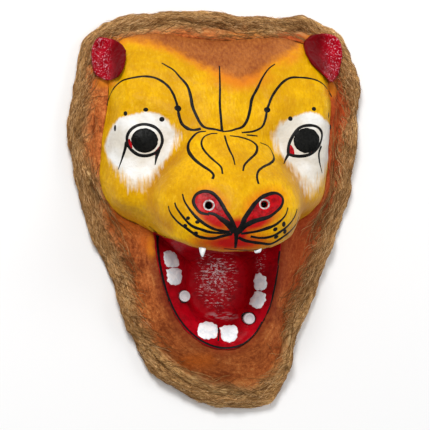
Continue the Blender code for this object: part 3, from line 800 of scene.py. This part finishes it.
LINES = [
    # start, middle and end width, then the points
    ((0.9, 1.6, 2.0), [(107, 105.5), (109, 98), (112.4, 90.5), (116.6, 85), (123.4, 80.2),
                       (133.7, 77.6), (144, 76.3), (153.6, 77.5), (161.8, 81.2), (168.7, 87),
                       (173.5, 94.6), (176.2, 102), (177.8, 108.3), (178.9, 115), (181.7, 123.4),
                       (187.2, 128.2), (193.3, 130), (200.9, 128.9)]),
    ((0.8, 2.1, 1.6), [(161.8, 63), (166.6, 65.8), (173.5, 70), (179.6, 76.8), (187.2, 85.7),
                       (190.6, 96), (192.7, 107), (196.8, 116.6), (200.9, 124), (205.7, 127.8),
                       (215, 129.3), (222, 131)]),
    ((1.0, 2.4, 1.6), [(206, 131.2), (198.4, 132.3), (193, 136.6), (188.7, 143), (188.1, 149.6),
                       (190.8, 155), (195.7, 160.5), (202.7, 165.9), (209.3, 170.2),
                       (213.6, 175), (212.5, 179)]),
    ((0.9, 1.5, 1.2), [(217.4, 133.4), (210.3, 133.9), (203.8, 137.2), (201.4, 143), (203.3, 149),
                       (208.2, 155), (214, 160.5), (219.6, 165.3), (221.7, 168.6), (222.5, 174)]),
    ((0.9, 1.5, 1.8), [(219.4, 66), (219.8, 77), (220, 90.5), (219.8, 104), (220.8, 116.5), (222, 131)]),
    ((1.2, 1.3, 0.8), [(224.6, 135.5), (226.8, 143), (229.8, 150.7), (233, 157), (235, 165)]),
    ((0.8, 2.0, 1.5), [(275, 64), (268.5, 69), (262.3, 78), (257.5, 88), (252, 98.7), (250, 109.7),
                       (247.2, 120), (242.4, 126.8), (235.6, 129.2), (229.4, 131), (222, 131.5)]),
    ((0.9, 1.8, 1.2), [(331.6, 96.7), (328, 90), (323.3, 84.3), (317.2, 80.5), (309.6, 78.4),
                       (300.7, 77.5), (291, 77.7), (283.6, 81.6), (277.4, 88.4), (272, 96.7),
                       (268.5, 105.6), (267, 110), (265.7, 118), (263, 125.5), (259, 129),
                       (252, 131.6), (241.7, 132.6)]),
    ((1.0, 1.3, 0.9), [(246.5, 135), (252, 135.4), (257.5, 136)]),
    ((1.0, 1.9, 1.2), [(230, 135.7), (239.7, 137), (249.3, 140), (255.5, 144), (257.2, 148),
                       (255.5, 153.6), (249.3, 159.7), (244.5, 165), (243, 171)]),
    ((0.7, 1.9, 1.3), [(260.2, 142.6), (267.8, 146), (272, 152), (274, 159), (270, 163.5),
                       (263.7, 166.6), (258.5, 171), (257, 177), (258.6, 184)]),
    # tears under the eyes
    ((2.6, 1.6, 0.6), [(126.6, 142), (124.8, 150), (121.6, 160), (118.2, 169.5)]),
    ((3.0, 1.7, 0.6), [(158.2, 150), (156.6, 156.5), (155, 165)]),
    ((1.9, 1.5, 0.7), [(321.4, 146), (319, 153), (319.6, 162), (322.2, 173)]),
    ((2.0, 1.3, 0.6), [(288, 155), (285.6, 159.5), (283.8, 164)]),
    # nostril outlines and the slit at the side of each
    ((1.8, 2.4, 2.8), [(209.3, 214.5), (201, 212.8), (196.6, 208.6), (193.4, 202), (195.2, 195.7),
                       (200, 192.2), (206, 191.2), (212.5, 193.2), (218, 198.4), (222.3, 205),
                       (226.6, 212.5), (231, 219), (234.2, 226.6), (236, 233)]),
    ((1.6, 3.4, 4.6), [(208, 213), (214.7, 214.4), (221, 218.6), (228.8, 224.6), (235, 232)]),
    ((4.0, 2.6, 1.6), [(237, 233), (240.7, 228), (245, 218.6), (250.5, 210), (256, 202.6),
                       (262.4, 197), (270, 193.8), (276.5, 193.2), (281.6, 196.4), (283, 201),
                       (280.8, 207), (275.4, 212.5)]),
    ((1.8, 3.0, 4.2), [(275.4, 212.5), (269, 216.8), (261.3, 219.2), (253.7, 221.4), (245, 226),
                       (238, 232)]),
    ((4.2, 2.4, 1.6), [(236.6, 231), (236.2, 239), (235.4, 248)]),
    # whiskers, left then right
    ((1.0, 2.1, 1.4), [(182.5, 194), (184.3, 200.6), (188, 207), (194, 214.7), (200.6, 221),
                       (207, 225.5), (214.7, 229.3), (222.3, 230.8), (230, 231.6)]),
    ((1.0, 2.0, 1.5), [(174.8, 202.7), (176.7, 208), (182.2, 215.8), (188.7, 223.3), (194, 227),
                       (201.7, 229.6), (209.3, 232), (220, 233), (230, 232.4)]),
    ((1.0, 2.1, 2.0), [(168.4, 206), (169.7, 211.4), (174, 218), (180, 224), (185.4, 227.6),
                       (192, 232.4), (198.4, 236.4), (206, 238.2), (213.6, 238.5), (221.2, 236.4),
                       (232, 234)]),
    ((1.0, 2.1, 1.5), [(288, 207.6), (285.7, 214.7), (280.8, 220.6), (274.3, 225.5), (265.6, 228.8),
                       (256, 231.5), (241, 233.8)]),
    ((1.0, 2.0, 1.5), [(297.1, 209.3), (294.9, 216.3), (290.6, 222.8), (285.2, 228.2), (277.6, 233.6),
                       (270, 236.9), (260.2, 238), (250.5, 236.4)]),
    ((0.8, 2.0, 2.2), [(298.7, 216.8), (296, 224.4), (289.5, 232), (280.8, 238.5), (271.1, 243.9),
                       (262.4, 243.4), (250.5, 241.8), (244, 240.2), (238.5, 237.4)]),
    ((0.6, 1.2, 0.6), [(224, 248.6), (236, 249.8), (250, 250.2), (262, 249.2), (270, 246.8)]),
    # the mouth's outline, from its left corner round the lower jaw
    ((2.2, 1.7, 1.5), [(157.4, 234), (158, 250), (161, 270), (166, 290), (173, 308), (183, 324),
                       (196, 337), (210, 345), (225, 348), (240, 345.5), (252, 337), (262, 323),
                       (270, 305), (275, 285), (278, 265), (279.6, 251)]),
    ((1.0, 1.2, 1.0), [(218.5, 328), (218.8, 334), (218.2, 341)]),
]
DOTS = [
    # x, y, half-width, half-height
    (177.8, 108.3, 2.8, 2.6), (267.1, 109.8, 2.6, 2.6),
    (125.4, 113.4, 1.6, 1.8), (145.7, 109.6, 2.0, 1.6), (161.8, 119.3, 2.1, 1.9),
    (115, 128, 1.4, 2.6), (290.3, 118.7, 1.9, 1.8), (314, 108.9, 1.9, 1.6),
    (328.5, 115.2, 1.3, 2.2), (330, 127, 1.1, 2.0),
    (188.1, 218.1, 1.5, 1.3), (197.3, 222, 1.6, 1.3), (185.2, 225.7, 1.5, 1.3), (196, 233.1, 1.6, 1.3),
    (283.8, 224.2, 1.9, 1.9), (275.4, 229.3, 1.9, 1.5), (285, 231.6, 1.9, 1.6), (276.2, 237.1, 2.0, 1.3),
]
black = plain_paint("black paint", rgb(4, 4, 4), rgb(18, 16, 15), 260, 0.5, 0.3, 0.15)
brush = bmesh.new()
for widths, rows in LINES:
    stroke(brush, rows, widths)
for cx, cy, across, along in DOTS:
    swell = 1.45 if cy > 200 else 1.3
    dab(brush, cx, cy, across * swell, along * swell, 0.25)
EYE_RINGS = [
    [(125.5, 141), (126, 135), (129.6, 129), (135.7, 124.8), (143.3, 123), (150.8, 124), (157.7, 127.5),
     (162.5, 133.7), (163.9, 141), (161.8, 148), (157, 153.6), (148, 157), (138.5, 156.3), (131, 151.5),
     (126.8, 146)],
    [(286.6, 155), (287.7, 144), (293.2, 133), (300, 126), (309.6, 124), (317.8, 125.5), (322.6, 130.3),
     (323.2, 137), (320.6, 145.3), (316.5, 150.8), (309.6, 155.6), (301.4, 157.4), (293.2, 157)],
]
for rows in EYE_RINGS:
    outer = np.array(rows)
    line = outer.mean(0) + (outer - outer.mean(0)) * 0.92
    stroke(brush, list(line) + [line[0]], (2.1, 1.9, 2.1), 0.2, True)
finish_paint(brush, "black_line_work", black)

# PUPILS. Two discs of dull black paint, thick enough to catch a soft edge of light. A patch
# is filled paint: rings of points from its outline to its heart.
PUPILS = ((144.5, 140.5, 13.5, 12.4), (306.6, 140.5, 13.1, 12.6))


def laid(px, py, lift):
    """A point on the surface that the eye sees at a picture point, raised by lift."""
    spot, normal, _, _ = ground.ray_cast(eye, sight(px, py))
    if spot is None:
        return None
    if normal.dot(eye - spot) < 0:
        normal = -normal
    return spot + normal * lift


def patch(brush, rows, height, wobble=0.25, steps=((1.0, -0.15), (0.9, 0.7), (0.72, 1.0))):
    """Add one filled shape: rings shrinking to its middle, the outer one let in."""
    loop = curve_through(list(rows) + [rows[0]])[:-1]
    shift = np.array([noise.noise(Vector((p[0] / 3, p[1] / 3, 4.1))) for p in loop])
    centre = loop.mean(0)
    away = loop - centre
    loop = centre + away * (1 + wobble * shift / np.hypot(*away.T))[:, None]
    rings = []
    for share, lift in (*steps, (0.45, 1.0), (0.2, 1.0)):
        ring = []
        for p in loop:
            spot = laid(*(centre + (p - centre) * share), lift * height * 0.001)
            ring.append(brush.verts.new(spot) if spot is not None else None)
        rings.append(ring)
    heart = laid(*centre, height * 0.001)
    heart = brush.verts.new(heart) if heart is not None else None
    count = len(loop)
    for first, second in zip(rings, rings[1:]):
        for i in range(count):
            corners = [first[i], first[(i + 1) % count], second[(i + 1) % count], second[i]]
            if None not in corners:
                brush.faces.new(corners)
    for i in range(count):
        corners = [rings[-1][i], rings[-1][(i + 1) % count], heart]
        if None not in corners:
            brush.faces.new(corners)


def ring_of(cx, cy, across, along, count=28):
    return [(cx + across * math.cos(a), cy + along * math.sin(a))
            for a in np.arange(count) * math.tau / count]


brush = bmesh.new()
for cx, cy, across, along in PUPILS:
    patch(brush, ring_of(cx, cy, across, along, 44), 0.3, wobble=0.5,
          steps=((1.0, -0.05), (0.96, 0.7), (0.8, 1.0)))
dull_black = plain_paint("pupil black", rgb(5, 5, 4), rgb(20, 20, 18), 500, 0.4, 0.7, 0.1)
finish_paint(brush, "pupils", dull_black)

# RED TOUCHES. Red paint inside the two nostrils and small dabs of it in the corners of the
# eyes, brushed on over the yellow and the white.
brush = bmesh.new()
for rows in NOSTRIL_RED:
    patch(brush, rows, 0.12, wobble=0.1)
for widths, rows in (((1.2, 2.8, 1.4), [(129, 139), (129.8, 143), (131.6, 148.5)]),
                     ((1.0, 1.4, 0.9), [(320.6, 144), (316.5, 148.6), (311, 152)])):
    stroke(brush, rows, widths, 0.12)
patch(brush, [(161, 144.4), (159.4, 150), (156.4, 154.6), (151.4, 155.4), (154.6, 151.8), (157.8, 147.8)],
      0.12, wobble=0.5)
patch(brush, [(288.2, 152), (288.4, 147), (290.6, 144.7), (293, 147.6), (294.5, 151.5), (293.8, 155),
              (290, 155.2)], 0.12, wobble=0.4)
nostril_red = plain_paint("nostril red", rgb(134, 0, 8), rgb(190, 8, 20), 150, 0.32, 0.7, 0.12)
finish_paint(brush, "red_touches", nostril_red)

# NOSTRIL RINGS. A pale ring of bare paper round each of the two holes, where the paint has
# worn off the edge.
brush = bmesh.new()
stroke(brush, ring_of(209, 205.3, 4.9, 4.7, 20) + [(213.9, 205.3)], (1.2, 1.2, 1.2), 0.3, True)
stroke(brush, ring_of(264.4, 204.2, 4.7, 4.5, 20) + [(269.1, 204.2)], (1.1, 1.1, 1.1), 0.3, True)
bare_rim = plain_paint("bare rim", rgb(140, 134, 130), rgb(212, 208, 204), 400, 0.5)
finish_paint(brush, "nostril_rings", bare_rim)

# TEETH. Thick white paint on the red gum: two big incisors, and two molars on each side. Two
# small pale teeth hang just behind the lip's edge, a flat chip each.
TEETH = [
    [(163.6, 252.6), (167, 250.4), (173.6, 251.6), (176.8, 255), (179.2, 262), (178, 266.4),
     (168, 267), (164.6, 262)],
    [(166.8, 270), (170.6, 268), (178.6, 268), (181.4, 272), (182, 281.6), (178.6, 284.6),
     (170.4, 284.4), (167, 279)],
    [(255.6, 273.6), (261, 273.4), (265.6, 278), (266.6, 285.4), (263.4, 290.2), (255.4, 289.8),
     (253.8, 282)],
    [(254.6, 291.4), (259.8, 290.8), (265.4, 294.6), (265.4, 300.4), (261.8, 307.4), (255, 308),
     (249.4, 302.6)],
    [(199.4, 323), (205, 321.8), (213.6, 323), (217.2, 326.6), (217.4, 335), (213, 338.6),
     (204, 339), (198.4, 336.2), (197.6, 328.6)],
    [(219.6, 327.6), (224, 326), (233, 325.2), (237, 328), (237.4, 336), (233.6, 341.2),
     (227, 342), (221.6, 338.4)],
]
LIP_TEETH = [
    # a point on the lip just above the tooth, then the tooth's outline
    ((202, 245), [(198.4, 243), (206.4, 242.6), (206, 248), (205, 252), (202.6, 257.2), (199.8, 252.4)]),
    ((257, 247), [(254, 246), (261, 245.6), (261, 251.4), (257.6, 253), (254.6, 252.4)]),
]
CHIP_FACES = (0.003, 0.0048)  # front and back, behind the lip as the eye sees it
brush = bmesh.new()
for rows in TEETH:
    patch(brush, rows, 0.9, wobble=1.5)
for (lip_x, lip_y), rows in LIP_TEETH:
    far = (ground.ray_cast(eye, sight(lip_x, lip_y))[0] - eye).length
    outline = curve_through(rows + [rows[0]])[:-1]
    chip = [[brush.verts.new(eye + sight(*p) * (far + behind)) for p in outline]
            for behind in CHIP_FACES]
    brush.faces.new(chip[0])
    brush.faces.new(chip[1][::-1])
    for i in range(len(outline)):
        j = (i + 1) % len(outline)
        brush.faces.new([chip[0][i], chip[0][j], chip[1][j], chip[1][i]])
white = plain_paint("white paint", rgb(232, 238, 243), rgb(255, 255, 255), 210, 0.35, 0.6)
finish_paint(brush, "white_teeth", white)

# LOOSE FIBRES. Stray hairs of the matting: thin three-sided strands that lie along the rolled
# rim, wander across it and lift a little at their ends. The random seed is fixed.
rng = np.random.default_rng(41)
body_tree = tree_of([body])
STRANDS = 9000
JOINTS = 6
FRINGE = 0.017  # the strands start no further in than this
HIGHEST_LIFT = 0.0022
END_LIFTS = np.array([1, 0.3, 0, 0, 0.3, 1])
for half in ("crown", "chin"):
    corners = []
    faces = []
    tones = []
    for _ in range(STRANDS // 2):
        turn = rng.uniform(0, math.pi) + (0 if half == "crown" else math.pi)
        outward = rim_reach_at(turn)
        depth_in = rng.triangular(-0.001, 0.004, FRINGE)
        start = Vector((middle[0] + math.cos(turn) * (outward - depth_in),
                        middle[1] + math.sin(turn) * (outward - depth_in),
                        rng.uniform(0.003, 0.03)))
        spot, normal, _, _ = body_tree.find_nearest(start)
        if spot.z < 0.002:
            continue
        tangent = Vector((-math.sin(turn), math.cos(turn), 0)) * rng.choice((-1, 1))
        away = Vector((math.cos(turn), math.sin(turn), 0))
        heading = (tangent + away * rng.normal(0, 0.28)).normalized()
        stride = rng.uniform(0.0018, 0.0056)
        thick = rng.uniform(0.00009, 0.00021)
        lifts = rng.uniform(-0.0001, 0.0004) + END_LIFTS * rng.exponential(0.0004)
        tone = rng.uniform(0, 1) - 0.45 * depth_in / FRINGE
        first = len(corners)
        for k in range(JOINTS):
            spot, normal, _, _ = body_tree.find_nearest(spot)
            here = spot + normal * min(lifts[k], HIGHEST_LIFT)
            here.z = max(here.z, 0.0004)
            side = heading.cross(normal).normalized()
            size = thick * (0.35 if k in (0, JOINTS - 1) else 1)
            for a in (0.0, 2.1, 4.2):  # a third of a turn apart
                corners.append(here + side * math.cos(a) * size + normal * math.sin(a) * size)
                tones.append(tone)
            heading = (heading + side * rng.normal(0, 0.22)).normalized()
            heading = (heading - normal * heading.dot(normal)).normalized()
            spot = spot + heading * stride
        for k in range(JOINTS - 1):
            for a in range(3):
                b = (a + 1) % 3
                faces.append((first + 3 * k + a, first + 3 * k + b,
                              first + 3 * k + 3 + b, first + 3 * k + 3 + a))
    mesh = bpy.data.meshes.new(half + " strands")
    mesh.from_pydata(corners, [], faces)
    mesh.shade_smooth()
    give(mesh, "tone", tones)
    strand, tree, look = material(half + " strand fibre")
    hair = three_tones(tree, field(tree, "tone"),
                       (0.0, rgb(116, 76, 40)), (0.55, rgb(204, 154, 94)), (1.0, rgb(246, 208, 156)))
    tree.links.new(hair, look.inputs["Base Color"])
    look.inputs["Roughness"].default_value = 0.75
    look.inputs["Specular IOR Level"].default_value = 0.12
    mesh.materials.append(strand)
    piece = placed(half + "_strands", mesh)
    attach(piece, "root")

# FLOOR AND LIGHT. A near-white studio floor under soft light from above the crown, so that
# soft shadows fall to the chin's side and under the muzzle.
sheet = bmesh.new()
bmesh.ops.create_grid(sheet, x_segments=1, y_segments=1, size=4)
floor_mesh = bpy.data.meshes.new("floor")
sheet.to_mesh(floor_mesh)
sheet.free()
floor = placed("floor", floor_mesh)
pale, tree, look = material("pale floor")
look.inputs["Base Color"].default_value = (0.97, 0.97, 0.97, 1)
look.inputs["Roughness"].default_value = 0.9
look.inputs["Specular IOR Level"].default_value = 0.1
floor_mesh.materials.append(pale)

world = bpy.data.worlds.new("studio")
bpy.context.scene.world = world
world.use_nodes = True
sky = world.node_tree.nodes["Background"]
sky.inputs["Color"].default_value = (1, 1, 1, 1)
sky.inputs["Strength"].default_value = 0.36
LIT_SPOT = Vector((0, 0, 0.04))
for name, place, size, power in (
    ("crown softbox", (-0.7, 1.8, 2.45), 0.9, 66),
    ("right fill", (2.2, 0.9, 2.3), 1.2, 14),
    ("overhead glint", (0.2, 0.2, 3.6), 0.8, 12),
):
    lamp = bpy.data.lights.new(name, "AREA")
    lamp.shape = "SQUARE"
    lamp.size = size
    lamp.energy = power
    lit = placed(name, lamp)
    lit.location = place
    lit.rotation_euler = (LIT_SPOT - lit.location).to_track_quat("-Z", "Y").to_euler()
bpy.context.scene.view_settings.view_transform = "Standard"
